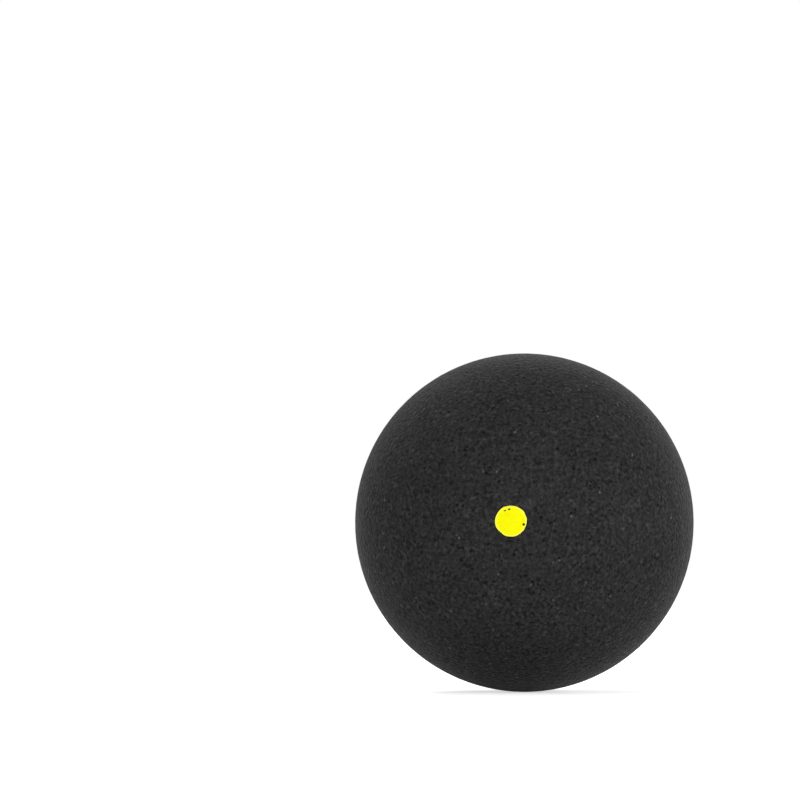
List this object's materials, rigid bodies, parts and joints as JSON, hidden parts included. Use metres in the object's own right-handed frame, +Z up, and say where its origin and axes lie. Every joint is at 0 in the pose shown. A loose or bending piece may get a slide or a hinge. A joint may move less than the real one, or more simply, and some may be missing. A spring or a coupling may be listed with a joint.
{
  "type": "squash ball",
  "caption": "Hollow rubber ball made of two cemented half shells, with a small yellow dot printed on one side and a white ornament on the other.",
  "frame": {"origin": "centre of the ball", "axes": "-Y through the middle of the yellow dot, +Y through the middle of the white ornament, +Z up, with the long side of the ornament along X and the seam in the XZ plane"},
  "size_m": [0.04, 0.04, 0.04],
  "materials": {
    "rubber": "matt, buffed, with a fine grain",
    "cement": "matt, cured rubber cement",
    "yellow_ink": "matt printing ink",
    "white_ink": "matt printing ink"
  },
  "bodies": {
    "root": {"dot_side_half_shell": "rubber", "print_side_half_shell": "rubber", "seam_cement": "cement", "yellow_dot": "yellow_ink", "white_print": "white_ink"}
  },
  "joints": []
}
